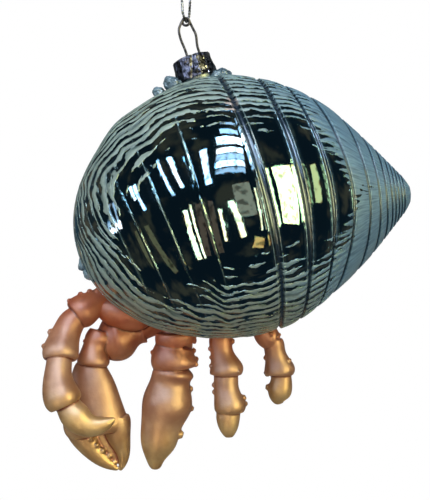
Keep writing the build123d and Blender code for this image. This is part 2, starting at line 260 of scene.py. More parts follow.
# Cord: one loop of two twisted strands of metallic thread, passed through the wire's eye and closed by a
# knot with two cut tails. The loop's own line comes first, and the strands are laid round it.
cord_route = (
    (-0.5, 0, 0), (-0.5, 0, -3), (-1.35, -0.5, -11), (-1.3, -1.4, -46.5), (-0.3, -1.7, -49.85),
    (0.3, 1.7, -49.85), (1.3, 1.4, -46.5), (1.35, 0.5, -11), (0.5, 0, -3), (0.5, 0, 0),
)
cord_line = bpy.data.curves.new("cord_line", "CURVE")
cord_line.dimensions = "3D"
cord_line.resolution_u = 24
spline = cord_line.splines.new("NURBS")
spline.points.add(len(cord_route) - 1)
for point, (x, y, z) in zip(spline.points, cord_route):
    point.co = (x * mm, y * mm, z * mm, 1)
spline.order_u = 3
spline.use_endpoint_u = True
guide = bpy.data.objects.new("cord_guide", cord_line)
scene.collection.objects.link(guide)
line_mesh = bpy.data.meshes.new_from_object(guide)
cord_path = [vertex.co.copy() for vertex in line_mesh.vertices]
bpy.data.objects.remove(guide)


def evenly(points, step):
    """Points a step apart along a line of points."""
    runs = [0.0]
    for before, after in zip(points, points[1:]):
        runs.append(runs[-1] + (after - before).length)
    count = max(2, round(runs[-1] / step))
    found = []
    for number in range(count + 1):
        goal = runs[-1] * number / count
        index = min(int(np.searchsorted(runs, goal, side="right")) - 1, len(points) - 2)
        share = (goal - runs[index]) / max(runs[index + 1] - runs[index], 1e-12)
        found.append(points[index].lerp(points[index + 1], share))
    return found


def tube(mesh, points, radius, sides):
    """Adds a round tube with closed ends along a line of points."""
    line = bpy.data.curves.new("tube_line", "CURVE")
    line.dimensions = "3D"
    line.bevel_depth = radius
    line.bevel_resolution = sides // 2 - 2
    line.use_fill_caps = True
    run = line.splines.new("POLY")
    run.points.add(len(points) - 1)
    for point, centre in zip(run.points, points):
        point.co = (*centre, 1)
    former = bpy.data.objects.new("tube_former", line)
    scene.collection.objects.link(former)
    mesh.from_mesh(bpy.data.meshes.new_from_object(former))
    bmesh.ops.remove_doubles(mesh, verts=mesh.verts[:], dist=0.0001 * mm)
    bpy.data.objects.remove(former)


def wound(points, offset, turn_length, phase):
    """A strand's line: round a cord's line at a distance, one turn in turn_length."""
    side = None
    gone = 0.0
    strand = []
    for number, centre in enumerate(points):
        ahead = (points[min(number + 1, len(points) - 1)] - points[max(number - 1, 0)]).normalized()
        if side is None:
            side = ahead.orthogonal()
        side = (side - ahead * side.dot(ahead)).normalized()
        if number:
            gone += (centre - points[number - 1]).length
        angle = 2 * pi * gone / turn_length + phase
        strand.append(centre + (side * cos(angle) + ahead.cross(side) * sin(angle)) * offset)
    return strand


def rgb(red, green, blue):
    """A screen colour as the light values that a shader takes."""
    def light(part):
        share = part / 255
        return share / 12.92 if share <= 0.04045 else ((share + 0.055) / 1.055) ** 2.4
    return (light(red), light(green), light(blue), 1.0)


def feed(tree, main, socket, value):
    """Links what varies over a surface to a socket of its main shader."""
    tree.fit(main.inputs[socket], value)


def relief(tree, main, height, depth):
    """Bumps the surface by height, which runs from 0 to 1, times depth in metres."""
    bump = tree.make("Bump", {}, {"Height": height, "Distance": depth})
    tree.fit(main.inputs["Normal"], bump.outputs[0])


def finished(name, mesh, body, material, slot, *nodes):
    """A bmesh as a smooth piece that rides on a body and stands for CAD nodes."""
    bmesh.ops.recalc_face_normals(mesh, faces=mesh.faces[:])
    data = bpy.data.meshes.new(name)
    mesh.to_mesh(data)
    mesh.free()
    data.shade_smooth()
    data.materials.append(material)
    piece = bpy.data.objects.new(name, data)
    scene.collection.objects.link(piece)
    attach(piece, body)
    if nodes:
        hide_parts(*nodes)
    return piece


thread, tree, main = shader("metallic_thread", Metallic=0.3, Specular_IOR_Level=0.2)
spot = place(tree)
flecks = cloud(tree, spot, 1500, detail=3).fade(0.50, 0.56)
feed(tree, main, "Base Color", tint(tree, flecks, rgb(8, 8, 12), rgb(172, 175, 186)))
feed(tree, main, "Roughness", 0.5 - flecks * 0.25)
relief(tree, main, cloud(tree, spot, 5200, detail=1), 0.05 * mm)
cord_radius = 0.4 * mm
strand_radius = 0.27 * mm
strand_turn = 1.7 * mm
point_gap = 0.16 * mm
cord_mesh = bmesh.new()
cord_points = evenly(cord_path, point_gap)
for strand in range(2):
    strand_line = wound(cord_points, cord_radius - strand_radius, strand_turn, strand * pi)
    tube(cord_mesh, strand_line, strand_radius, sides=8)
cord = finished("hanging_cord_twist", cord_mesh, "cord_loop", thread, "metallic_cord", "hanging_cord")
knot_mesh = bmesh.new()
knot_turns, knot_radius, knot_foot, knot_height, knot_parts = 3.2, 1.0, 0.35, 1.75, 120
knot_line = []
for number in range(knot_parts + 1):
    share = number / knot_parts
    angle = 2 * pi * knot_turns * share
    around = Vector((cos(angle), sin(angle), 0)) * knot_radius
    knot_line.append((around + Vector((0, 0, knot_foot + knot_height * share))) * mm)
tube(knot_mesh, knot_line, cord_radius * 1.05, sides=12)
tail_lean, tail_length, tail_foot, tail_parts = 24, 5.0, 0.6, 23
for lean in (-tail_lean, tail_lean):
    tail = []
    for number in range(tail_parts + 1):
        share = number / tail_parts
        sway = sin(radians(lean)) * (share + 0.25 * share * share)
        bow = 0.2 * sin(share * 5)
        tail.append(Vector((sway * tail_length, bow, tail_foot + tail_length * share)) * mm)
    for strand in range(2):
        tail_line = wound(evenly(tail, point_gap), cord_radius - strand_radius, strand_turn, strand * pi)
        tube(knot_mesh, tail_line, strand_radius, sides=8)
knot = finished("cord_knot_wraps", knot_mesh, "cord_loop", thread, "metallic_cord", "cord_knot")

# Shell: one thin blown glass, silvered inside, with broad flutes at its round end and banded ribs
# towards its tip. It is a grid of rings bent round the shell's axis. The rings follow the ribs' lines,
# which lean and curve, so a groove is a whole ring.
shell_length, shell_radius, shell_lean = 101.3, 38.5, radians(4.5)
shell_along = Vector((cos(shell_lean), 0, sin(shell_lean)))
shell_up = Vector((-sin(shell_lean), 0, cos(shell_lean)))
shell_origin = Vector((-33.5, 0, -109.5))
belly_share, taper_power = 0.455, 2.03
tip_radius, tip_reach = 5.1, 4.75
end_sag, end_flat = 3.2, 0.10
shoulder_rise, shoulder_at, shoulder_half = 1.2, 0.155, 0.045
tip_rise, tip_rise_at, tip_rise_half = 0.55, 0.75, 0.08
flute_shares = (0.078, 0.145, 0.20, 0.282, 0.385)
flute_knees = (0.32, 0.32, 0.32, 0.32, 0.32, 0.70)
groove_shares = (
    0.5495, 0.6467, 0.7233, 0.7873, 0.8394, 0.8739, 0.8984, 0.9176, 0.9312, 0.944, 0.956, 0.967,
)
rib_lines = (0.0, *flute_shares, *groove_shares, 1.0)
groove_floor, groove_slope = 0.2, 0.16
rim_at, rim_half, rim_height, flute_edge_half = 1.15, 0.28, 0.12, 0.42
ridge_count, ridge_height, wobble_height = 88, 0.16, 0.25
ridge_fade = (0.68, 0.84)
ring_gap = 0.8
under_paint = -20.0
steps = 432


def smooth(value, start, end):
    """0 before start and 1 after end, with a smooth turn between them."""
    share = min(max((value - start) / (end - start), 0), 1)
    return share * share * (3 - 2 * share)


def outline(share):
    """Radius of the shell without its ribs, in millimetres."""
    share = min(max(share, 0), 1)
    if share < belly_share:
        return shell_radius * sqrt(1 - (1 - share / belly_share) ** 2)
    taper = shell_radius * (1 - ((share - belly_share) / (1 - belly_share)) ** taper_power)
    from_tip = (1 - share) * shell_length
    return sqrt(taper ** 2 + 2 * tip_radius * from_tip * exp(-from_tip / tip_reach))


def true_share(share, angle):
    """Where a ring really is at an angle up from the front: ribs lean, and curve near the tip."""
    at = (0, 0.16, 0.32, 0.45, 0.55, 0.65, 0.79, 0.87, 1)
    lean = float(np.interp(share, at, (0, 0.13, 0.11, 0.055, 0.064, 0.037, 0.014, 0.006, 0)))
    curve = float(np.interp(share, (0.4, 0.55, 0.65, 0.78, 0.84, 0.9), (0, 0.037, 0.047, 0.068, 0.032, 0)))
    return share - lean * sin(angle) - curve * sin(angle) ** 2


def groove_half(share):
    """Half the width of the groove at a share, in millimetres."""
    return float(np.interp(share, (0.54, 0.65, 0.73, 0.80, 1.0), (1.0, 0.8, 0.58, 0.46, 0.34)))


def rib_height(share):
    """Height of the ribs over the outline: flat-topped flutes, then bands with rounded edges."""
    index = max(i for i, line in enumerate(rib_lines[:-1]) if share >= line)
    width = rib_lines[index + 1] - rib_lines[index]
    across = abs(2 * (share - rib_lines[index]) / width - 1)
    end_fade = smooth(share, 0, 0.06) * (1 - smooth(share, 0.95, 1))
    if share >= groove_shares[0]:
        return min(0.6, 12 * width) * end_fade * (1 - across ** 4.5)
    rise = min(0.17, 2.2 * width) * end_fade
    knee, turn_width = flute_knees[index], 0.07

    def falling(value):
        return turn_width * np.log1p(exp((value - knee) / turn_width))
    return rise * (1 - (falling(across) - falling(0)) / (falling(1) - falling(0)))


def groove_share(share):
    """How far into a groove a ring is: 1 in its floor and 0 on a band."""
    nearest = min(groove_shares, key=lambda line: abs(share - line))
    half = groove_half(nearest)
    return 1 - smooth(abs(share - nearest) * shell_length, 0.3 * half, half)


def rim_share(share):
    """1 on the thin raised line of paint at each side of a groove, and less on each flute's edge."""
    nearest = min(groove_shares, key=lambda line: abs(share - line))
    half = groove_half(nearest)
    beside = 1 - abs(abs(share - nearest) * shell_length - half * rim_at) / rim_half
    from_edge = min(abs(share - line) for line in flute_shares) * shell_length
    return max(0, beside, 0.6 * (1 - from_edge / flute_edge_half))


# The bare mirror in the painted shell: for each share, the lowest and highest angle without paint
bare_shares = (
    0.0, 0.137, 0.15, 0.18, 0.23, 0.266, 0.32, 0.36, 0.41, 0.47, 0.51, 0.54, 0.63, 0.68, 0.73, 0.766, 0.79,
    0.82, 1.0,
)
bare_lows = (0, 0, -10, -23, -39, -44, -43, -41, -39, -35, -29, -26, -26, -28, -28, -26, -21, 5, 5)
bare_highs = (0, 0, 9, 14, 20, 26, 31, 33, 35, 35, 33, 32, 34, 31, 25, 17, 5, 5, 5)


def bareness(share, angle):
    """Above 0 inside the bare zone and below 0 in the paint, in millimetres from its edge."""
    turned = degrees(atan2(sin(angle), cos(angle)))
    if abs(turned) > 90:
        turned = (180 - abs(turned)) * (1 if turned > 0 else -1) * 0.9
    low = float(np.interp(share, bare_shares, bare_lows))
    high = float(np.interp(share, bare_shares, bare_highs))
    middle, half = (low + high) / 2, (high - low) / 2
    return radians(half - abs(turned - middle)) * outline(share)


def ridge_phase(share, angle):
    """Which of the paint's ridges a point lies on. They run along the shell and round its left end."""
    narrow = outline(share) / shell_radius if share < belly_share else 1
    turned = acos(max(-1.0, min(1.0, narrow * cos(angle))))
    wander = noise.noise(Vector((share * 4.5, sin(angle) * 1.6, cos(angle) * 1.6 + 7)))
    waver = noise.noise(Vector((share * 17, sin(angle) * 5, cos(angle) * 5 + 3)))
    index = max(i for i, line in enumerate(rib_lines[:-1]) if share >= line)
    width = rib_lines[index + 1] - rib_lines[index]
    across = (share - rib_lines[index]) / width
    dip = 0.16 * sin(2 * pi * across) * min(1, width * 12) * (1 - smooth(share, 0.54, 0.60))
    return ridge_count * turned / (2 * pi) + 1.7 * wander + 0.36 * waver + dip


def shell_point(share, angle, lift=0.0):
    """A point of the shell's ribbed outside, in metres, lifted along its radius in millimetres."""
    real = true_share(share, angle)
    radius = outline(real) + lift
    sag = -end_sag * max(1 - real / belly_share, 0) ** 2
    bump = tip_rise * exp(-((real - tip_rise_at) / tip_rise_half) ** 2)
    bump += shoulder_rise * exp(-((real - shoulder_at) / shoulder_half) ** 2) * max(sin(angle), 0)
    flat = end_flat * max(1 - real / belly_share, 0) ** 3 * max(sin(angle), 0) ** 2
    height = sin(angle) * radius * (1 - flat) + sag + bump
    across = Vector((0, -cos(angle), 0)) * radius + shell_up * height
    return (shell_origin + shell_along * real * shell_length + across) * mm


ring_shares = [0.004, 0.012, 0.025]
for start, end in zip(rib_lines, rib_lines[1:]):
    left = start + (1.4 * groove_half(start) / shell_length if start in groove_shares else 0)
    right = end - (1.4 * groove_half(end) / shell_length if end in groove_shares else 0)
    count = max(2, round((right - left) * shell_length / ring_gap))
    ring_shares += [left + (right - left) * number / count for number in range(count + 1)]
    if end in groove_shares:
        half = groove_half(end) / shell_length
        offsets = (-rim_at, -0.9, -0.6, -0.3, 0.3, 0.6, 0.9, rim_at)
        ring_shares += [end + offset * half for offset in offsets]
flute_edge = flute_edge_half / shell_length
ring_shares += [line + side * flute_edge for line in flute_shares for side in (-1, 1)]
ring_shares = [0.0, *sorted({round(share, 5) for share in ring_shares if 0.003 < share < 0.997}), 1.0]
shell_mesh = bmesh.new()
ridge_layer = shell_mesh.loops.layers.uv.new("ridge_map")
bare_layer = shell_mesh.verts.layers.float.new("bare")
groove_layer = shell_mesh.verts.layers.float.new("groove")
rim_layer = shell_mesh.verts.layers.float.new("rim")
last_ring = len(ring_shares) - 1
bmesh.ops.create_grid(shell_mesh, x_segments=last_ring, y_segments=steps, size=1)
ring_lifts = []
for share in ring_shares:
    depth = (groove_floor + groove_slope * groove_half(share)) * groove_share(share)
    ring_lifts.append(rib_height(share) - depth + rim_height * rim_share(share))
ridge_places = {}
for vertex in shell_mesh.verts:
    ring = round((vertex.co.x + 1) / 2 * last_ring)
    step = round((vertex.co.y + 1) / 2 * steps)
    angle = 2 * pi * (step % steps / steps - 0.25)
    share = ring_shares[min(max(ring, 1), last_ring - 1)]
    phase = ridge_phase(share, angle)
    ridge_places[vertex] = (ring_shares[ring], phase)
    if ring in (0, last_ring):
        vertex.co = shell_point(ring_shares[ring], 0)
        vertex[bare_layer] = under_paint
        continue
    bare = bareness(true_share(share, angle), angle)
    wobble = noise.noise(Vector((share * 9, sin(angle) * 2, cos(angle) * 2))) * wobble_height
    ridge = ridge_height * cos(2 * pi * phase) * (1 - smooth(bare, -6, 2)) * (1 - groove_share(share))
    ridge *= 1 - smooth(share, *ridge_fade)
    vertex.co = shell_point(share, angle, ring_lifts[ring] + (wobble + ridge) * smooth(share, 0, 0.08))
    vertex[bare_layer] = bare
    vertex[groove_layer] = groove_share(share)
    vertex[rim_layer] = rim_share(share)
for face in shell_mesh.faces:
    for loop in face.loops:
        loop[ridge_layer].uv = ridge_places[loop.vert]
bmesh.ops.remove_doubles(shell_mesh, verts=shell_mesh.verts[:], dist=0.001 * mm)

# The glass is a dark teal mirror. Its frosted paint is brushed over ridges that run along the shell,
# and is worn through in thin dark lines between them.


def apart(tree, vector):
    """The three numbers of a vector."""
    node = tree.make("SeparateXYZ", {}, {0: vector})
    return [Value(tree, output) for output in node.outputs]


def joined(tree, *parts):
    """A vector of three numbers or values."""
    return tree.make("CombineXYZ", {}, dict(enumerate(parts))).outputs[0]


def attribute(tree, name):
    """A number that the mesh holds at each of its vertices."""
    return Value(tree, tree.make("Attribute", {"attribute_name": name}).outputs["Fac"])


mirror_paint, tree, main = shader("mirror_paint", Specular_IOR_Level=0.5, Coat_Roughness=0.04)
spot = place(tree)
share, ridge = apart(tree, tree.make("UVMap", {"uv_map": "ridge_map"}).outputs[0])[:2]
bare, groove, rim = (attribute(tree, name) for name in ("bare", "groove", "rim"))
spot_x, spot_y, spot_z = apart(tree, spot)
fray = cloud(tree, spot, 420, detail=3)
wear = cloud(tree, spot, 110, detail=4)
phase = ridge + (fray - 0.5) * 0.7 + (wear - 0.5) * 0.6
# 1 in the middle between two ridges of paint and 0 on a crest
between = 0.5 - (phase * (2 * pi)).math("COSINE") * 0.5
dashes = cloud(tree, joined(tree, share * 15, ridge * 0.9, 0.0), 1.0, detail=2)
brush = cloud(tree, joined(tree, share * 22, ridge * 3.2, 4.0), 1.0, detail=4)
# The coat is worn through between its ridges, more so near its edge, and scratched along the shell
right_end = share.fade(0.70, 0.84)
near_edge = bare.fade(-9, 3)
gap_width = (dashes - 0.36) * 2.6 + (wear - 0.5) * 2.2 + near_edge * 0.8 - right_end * 1.6
gaps = (between + gap_width).fade(0.96, 1.10)
scratches = (brush + near_edge * 0.2).fade(0.68, 0.76) * (1 - right_end)
edge = bare + (wear - 0.5) * 17 + (fray - 0.5) * 8 - (1 - between) * 4
paint = (1 - gaps.higher(scratches)) * (1 - edge.fade(0.0, 1.0))
paint = paint * (1 - groove * 0.94)
paint = paint.higher(rim * (0.9 - right_end * 0.5) * (wear + fray * 0.5).fade(0.56, 0.72))
# It is sage at the round end, blue at the tip and olive underneath, darkened there as painted shade,
# with one rosy blotch
# Its tone follows the brush streaks, and is lighter on each ridge's crest as a painted highlight
brush_tone_and_crest_highlight = brush * 0.7 + (1 - between) * (1 - right_end) * 0.3 + right_end * 0.15
sage = tint(tree, brush_tone_and_crest_highlight.fade(0.30, 0.66), rgb(80, 102, 100), rgb(150, 168, 156))
blue = tint(tree, brush_tone_and_crest_highlight.fade(0.30, 0.66), rgb(60, 98, 122), rgb(118, 157, 177))
shaded_olive = tint(tree, brush_tone_and_crest_highlight.fade(0.30, 0.66), rgb(78, 84, 72), rgb(140, 142, 122))
# Darker olive towards the bottom: partly the coat's own tone there, partly painted shade of the underside
underside_tone_and_shade = (spot_z * -1 + (wear - 0.5) * 0.02).fade(0.122, 0.142)
coat_colour = tint(tree, share.fade(0.42, 0.78), sage, blue)
coat_colour = tint(tree, underside_tone_and_shade * (1 - share.fade(0.6, 0.85)), coat_colour, shaded_olive)
blotch_x = (spot_x - 0.0130) * 480
blotch_z = (spot_z + 0.0800) * 330
blotch = 1 - (blotch_x * blotch_x + blotch_z * blotch_z).fade(0.3, 1.2)
coat_colour = tint(tree, blotch * spot_y.fade(0.0, -0.004), coat_colour, rgb(188, 166, 156))
glass_colour = tint(tree, groove, rgb(40, 62, 72), rgb(22, 44, 64))
feed(tree, main, "Base Color", tint(tree, paint, glass_colour, coat_colour))
feed(tree, main, "Metallic", (1 - paint) * (1 - groove * 0.7))
feed(tree, main, "Roughness", paint * 0.45 + groove * 0.22 + 0.04)
feed(tree, main, "Coat Weight", (1 - paint * 0.8) * (1 - groove * 0.85))
# The coat stands up from the glass, most on its crests, and the glass itself is slightly wavy
crest = (1 - between) * (1 - right_end)
waves = cloud(tree, spot, 210, detail=3)
raised = paint * 0.5 + crest * paint * 0.5 + brush * paint * (0.35 - right_end * 0.2) + waves * 0.22
relief(tree, main, raised, 0.3 * mm)
shell = finished(
    "glass_shell_ribbed", shell_mesh, "ornament", mirror_paint, "mirrored_glass", "glass_shell",
)

# Mouth: the shell is open underneath where the crab's body is glued in. It is a long slot with round
# ends, cut through the glass by a prism of the same outline.
mouth_centre, mouth_lean = Vector((0.96, 9, -135.50)), radians(-11.4)
mouth_length, mouth_width, mouth_depth, cut_drop = 58.8, 22, 6.5, 40
mouth_along = Vector((cos(mouth_lean), 0, sin(mouth_lean)))
mouth_up = Vector((-sin(mouth_lean), 0, cos(mouth_lean)))
cutter_mesh = bmesh.new()
cutter_bare = cutter_mesh.verts.layers.float.new("bare")
bmesh.ops.create_circle(cutter_mesh, cap_ends=True, segments=64, radius=mouth_width / 2)
for vertex in cutter_mesh.verts:
    along = vertex.co.x + (mouth_length - mouth_width) / 2 * (1 if vertex.co.x > 0 else -1)
    flat = mouth_along * along + Vector((0, vertex.co.y, 0))
    vertex.co = (mouth_centre + flat + mouth_up * mouth_depth) * mm
drawn = bmesh.ops.extrude_face_region(cutter_mesh, geom=cutter_mesh.faces[:])["geom"]
lower = [item for item in drawn if isinstance(item, bmesh.types.BMVert)]
bmesh.ops.translate(cutter_mesh, verts=lower, vec=mouth_up * -cut_drop * mm)
bmesh.ops.recalc_face_normals(cutter_mesh, faces=cutter_mesh.faces[:])
for vertex in cutter_mesh.verts:
    vertex[cutter_bare] = under_paint
cutter_data = bpy.data.meshes.new("mouth_cutter")
cutter_mesh.to_mesh(cutter_data)
cutter_mesh.free()
cutter = bpy.data.objects.new("mouth_cutter", cutter_data)
scene.collection.objects.link(cutter)
opening = shell.modifiers.new("mouth", "BOOLEAN")
opening.object = cutter
opening.solver = "MANIFOLD"
bpy.context.view_layer.update()
opened = bpy.data.meshes.new_from_object(shell.evaluated_get(bpy.context.evaluated_depsgraph_get()))
shell.modifiers.clear()
bpy.data.objects.remove(cutter)
opened.name = "glass_shell_ribbed"
opened.shade_smooth()
shell.data = opened

# Shoulders: the blown neck that the cap sits on, and the rough lumps of frosted glass melted on beside it
# and at the shell's left end.
frosted, tree, main = shader("frosted_lumps", Coat_Weight=0.4, Coat_Roughness=0.1, Specular_IOR_Level=0.4)
spot = place(tree)
patches = cloud(tree, spot, 300, detail=4)
feed(tree, main, "Base Color", tint(tree, patches.fade(0.38, 0.62), rgb(66, 92, 106), rgb(132, 156, 168)))
feed(tree, main, "Roughness", 0.22 + patches * 0.3)
relief(tree, main, cloud(tree, spot, 700, detail=3), 0.2 * mm)
lump_mesh = bmesh.new()
lump_lean = radians(11)
# Each lump's centre and its half sizes along, across and up the shell, in millimetres
lumps = (
    ((-4.4, 0.5, -68.5), (2.5, 4.3, 2.2)), ((-2.9, -2.0, -69.4), (2.2, 3.2, 2.0)),
    ((11.3, 0.3, -66.2), (2.5, 4.2, 2.1)), ((9.4, -2.4, -66.9), (2.0, 2.8, 1.7)),
    ((-8.1, 1.0, -71.0), (1.9, 2.4, 1.6)), ((-30.2, 1.2, -122.6), (2.2, 3.0, 2.6)),
    ((-28.6, -1.0, -125.4), (2.0, 2.6, 2.0)),
)
for centre, half_sizes in lumps:
    made = bmesh.ops.create_icosphere(lump_mesh, subdivisions=5, radius=1.0)["verts"]
    for vertex in made:
        rough = 1 + 0.22 * noise.noise(vertex.co * 1.7 + Vector(centre)) + 0.08 * noise.noise(vertex.co * 5)
        vertex.co = vertex.co * rough
    bmesh.ops.scale(lump_mesh, verts=made, vec=Vector(half_sizes) * mm)
    bmesh.ops.rotate(lump_mesh, verts=made, matrix=Matrix.Rotation(lump_lean, 3, "Y"))
    bmesh.ops.translate(lump_mesh, verts=made, vec=Vector(centre) * mm)
finished("glass_shell_lumps", lump_mesh, "ornament", frosted, "mirrored_glass", "glass_shell")
neck_foot = Vector((3.847, 0, -68.116))
cap_across, cap_up = Vector((0.9483, 0, 0.3173)), Vector((-0.3173, 0, 0.9483))
neck_radius, neck_bore, neck_top, neck_root = 5.1, 4.1, 6.2, -3.0
neck_mesh = bmesh.new()
profile = [(neck_bore, neck_root), (neck_radius, neck_root), (neck_radius, neck_top), (neck_bore, neck_top)]
corners = []
for out, rise in profile:
    corners.append(neck_mesh.verts.new((neck_foot + cap_across * out + cap_up * rise) * mm))
edges = [neck_mesh.edges.new((first, second)) for first, second in zip(corners, corners[1:] + corners[:1])]
bmesh.ops.spin(
    neck_mesh, geom=edges, cent=neck_foot * mm, axis=cap_up, angle=2 * pi, steps=72, use_merge=True
)
finished("glass_shell_neck", neck_mesh, "ornament", frosted, "mirrored_glass", "glass_shell")

# Limbs: the crab's body, claws and legs are cast in resin, sprayed with a pearl paint that goes from copper
# to gold, and glued together. The copper near the shell is darkened as painted shade, and the gold tips are
# lightened as painted sheen. Each moulding is remeshed and smoothed, so that its joints melt together.
pearl, tree, main = shader("pearl_resin", Specular_IOR_Level=0.38, Coat_Weight=0.1, Coat_Roughness=0.3)
spot = place(tree)
reach = attribute(tree, "reach")
crease_shade = attribute(tree, "crease_shade")
mottle = cloud(tree, spot, 160, detail=4)
copper_and_shade = tint(tree, mottle.fade(0.35, 0.7), rgb(174, 80, 42), rgb(196, 108, 66))
rose = tint(tree, mottle.fade(0.35, 0.7), rgb(166, 108, 74), rgb(188, 134, 98))
gold_and_sheen = tint(tree, mottle.fade(0.35, 0.7), rgb(170, 125, 72), rgb(198, 158, 102))
# Copper at the roots, under the shell, is partly painted shade; the lighter gold at the tips is partly
# painted sheen
skin = tint(tree, reach.fade(0.1, 0.5), copper_and_shade, rose)
skin = tint(tree, reach.fade(0.55, 0.95), skin, gold_and_sheen)
# Hollows and creases turn dark brown: painted shade
skin = tint(tree, crease_shade.fade(0.1, 0.9), skin, rgb(122, 56, 30))
feed(tree, main, "Base Color", skin)
feed(tree, main, "Metallic", 0.04 + reach.fade(0.55, 1.0) * 0.09)
feed(tree, main, "Roughness", 0.42 + mottle * 0.12 - reach * 0.08)
relief(tree, main, cloud(tree, spot, 900, detail=3), 0.06 * mm)
spine_foot, spine_tip, spine_height = 1.6, 0.7, 1.6
swell_lean = radians(16)
even_rounds, crease_shade_depth = 14, 0.16 * mm


def remeshed(shape, voxel):
    """The mesh of an object, made anew in voxels, with what its other modifiers do after that."""
    remesh = shape.modifiers.new("voxels", "REMESH")
    remesh.mode = "VOXEL"
    remesh.voxel_size = voxel * mm
    shape.modifiers.move(len(shape.modifiers) - 1, 0)
    bpy.context.view_layer.update()
    made = bpy.data.meshes.new_from_object(shape.evaluated_get(bpy.context.evaluated_depsgraph_get()))
    bpy.data.objects.remove(shape)
    return made


def limb(node, name, voxel, nubs=(), swells=()):
    """A CAD moulding with small blunt spines: each is a place near the skin and its size in millimetres.

    A swell is a soft lobe at the moulding's root: its centre and half sizes.
    """
    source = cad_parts[node]
    mesh = bmesh.new()
    mesh.from_mesh(source.data)
    bmesh.ops.remove_doubles(mesh, verts=mesh.verts[:], dist=0.001 * mm)
    skin_tree = BVHTree.FromBMesh(mesh)
    for x, y, z, radius in nubs:
        foot, normal = skin_tree.find_nearest(Vector((x, y, z)) * mm)[:2]
        stand = Matrix.Translation(foot + normal * 0.1 * radius * mm)
        stand = stand @ normal.to_track_quat("Z", "Y").to_matrix().to_4x4()
        size = radius * mm
        bmesh.ops.create_cone(
            mesh, cap_ends=True, segments=14, radius1=spine_foot * size, radius2=spine_tip * size,
            depth=spine_height * size, matrix=stand,
        )
    for centre, half_sizes in swells:
        lobe = bmesh.ops.create_icosphere(mesh, subdivisions=4, radius=1.0)["verts"]
        bmesh.ops.scale(mesh, verts=lobe, vec=Vector(half_sizes) * mm)
        bmesh.ops.rotate(mesh, verts=lobe, matrix=Matrix.Rotation(swell_lean, 3, "Y"))
        bmesh.ops.translate(mesh, verts=lobe, vec=Vector(centre) * mm)
    data = bpy.data.meshes.new(name)
    mesh.to_mesh(data)
    mesh.free()
    shape = bpy.data.objects.new(name, data)
    scene.collection.objects.link(shape)
    soften = shape.modifiers.new("soften", "SMOOTH")
    soften.factor = 0.6
    soften.iterations = 4
    made = remeshed(shape, voxel)
    places = np.zeros(len(made.vertices) * 3)
    made.vertices.foreach_get("co", places)
    places = places.reshape(-1, 3)
    ends = np.zeros(len(made.edges) * 2, int)
    made.edges.foreach_get("vertices", ends)
    ends = ends.reshape(-1, 2)
    softer = places.copy()
    degree = np.bincount(ends.ravel(), minlength=len(places))[:, None]
    for number in range(even_rounds):
        total = np.zeros_like(softer)
        np.add.at(total, ends[:, 0], softer[ends[:, 1]])
        np.add.at(total, ends[:, 1], softer[ends[:, 0]])
        softer = total / degree
    normals = np.zeros(len(places) * 3)
    made.vertices.foreach_get("normal", normals)
    # How deep each point lies in a hollow or crease, which the paint darkens as painted shade
    crease_shades = np.einsum("ij,ij->i", softer - places, normals.reshape(-1, 3)) / crease_shade_depth
    top, bottom = places[:, 2].max(), places[:, 2].min()
    reaches = (top - places[:, 2]) / (top - bottom)
    for label, values in (("crease_shade", crease_shades), ("reach", reaches)):
        layer = made.attributes.new(label, "FLOAT", "POINT")
        layer.data.foreach_set("value", values.astype(np.float32))
    made.name = name
    made.shade_smooth()
    made.materials.clear()
    made.materials.append(pearl)
    piece = bpy.data.objects.new(name, made)
    scene.collection.objects.link(piece)
    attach(piece, "ornament")
    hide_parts(node)
    return piece


limb("left_claw", "left_claw_cast", 0.26, (
    (1.3, 4.7, -160.9, 0.9), (1.2, 4.2, -166.7, 0.8), (-1.2, 3.7, -174.8, 1.3), (2.9, 4.5, -149.2, 0.7),
    (3.2, 4.9, -151.6, 0.7), (3.1, 2.6, -153.3, 0.7), (2.6, 4.2, -147.2, 0.6), (-10.7, 3.9, -149.5, 0.6),
))
limb("right_claw", "right_claw_cast", 0.26, (
    (-29.3, 5.0, -176.3, 0.7), (-27.6, 5.8, -178.3, 0.75), (-25.9, 6.6, -180.3, 0.75),
    (-24.2, 7.4, -182.3, 0.7), (-22.6, 8.4, -184.2, 0.6), (-31.6, 7.6, -146.6, 0.5),
), [((-19.8, 8.5, -138.0), (9.0, 5.0, 5.2))])
limb("left_front_leg", "left_front_leg_cast", 0.24, (
    (7.2, 2.9, -148.4, 0.7), (7.0, 2.6, -151.0, 0.6), (7.3, 1.7, -153.4, 0.65), (14.4, 3.6, -146.2, 0.85),
    (17.5, 2.0, -163.0, 0.9), (17.6, 2.2, -165.0, 0.7), (8.2, 2.3, -159.3, 0.75), (8.2, 2.3, -161.4, 0.7),
    (15.9, -0.7, -154.9, 0.6),
))
limb("left_rear_leg", "left_rear_leg_cast", 0.24, (
    (24.7, 7.6, -160.8, 0.95), (24.9, 7.6, -157.8, 0.8), (23.9, 2.7, -142.7, 0.5),
    (25.7, 2.7, -143.9, 0.55), (27.6, 3.7, -144.9, 0.55), (28.8, 5.8, -144.3, 0.5),
    (31.6, 5.1, -152.1, 0.7), (23.9, 6.8, -151.7, 0.65),
))
limb("right_front_leg", "right_front_leg_cast", 0.26, (
    (-32.7, 6.6, -132.2, 0.8), (-30.1, 7.0, -131.0, 0.85), (-27.6, 6.1, -130.6, 0.7),
    (-36.3, 5.8, -133.8, 0.7), (-41.6, 2.8, -143.1, 0.95), (-42.4, 1.0, -147.5, 0.7),
))
limb("right_rear_leg", "right_rear_leg_cast", 0.28)
limb("crab_body", "crab_body_cast", 0.4)

# Cap: a thin stamped tin cap with a crimped foot, pushed on over the neck and crumpled by the fingers that
# pushed it.


def cells(tree, vector, scale):
    """The distance to the nearest of many scattered spots."""
    node = tree.make("TexVoronoi", {}, {"Vector": vector, "Scale": scale})
    return Value(tree, node.outputs["Distance"])


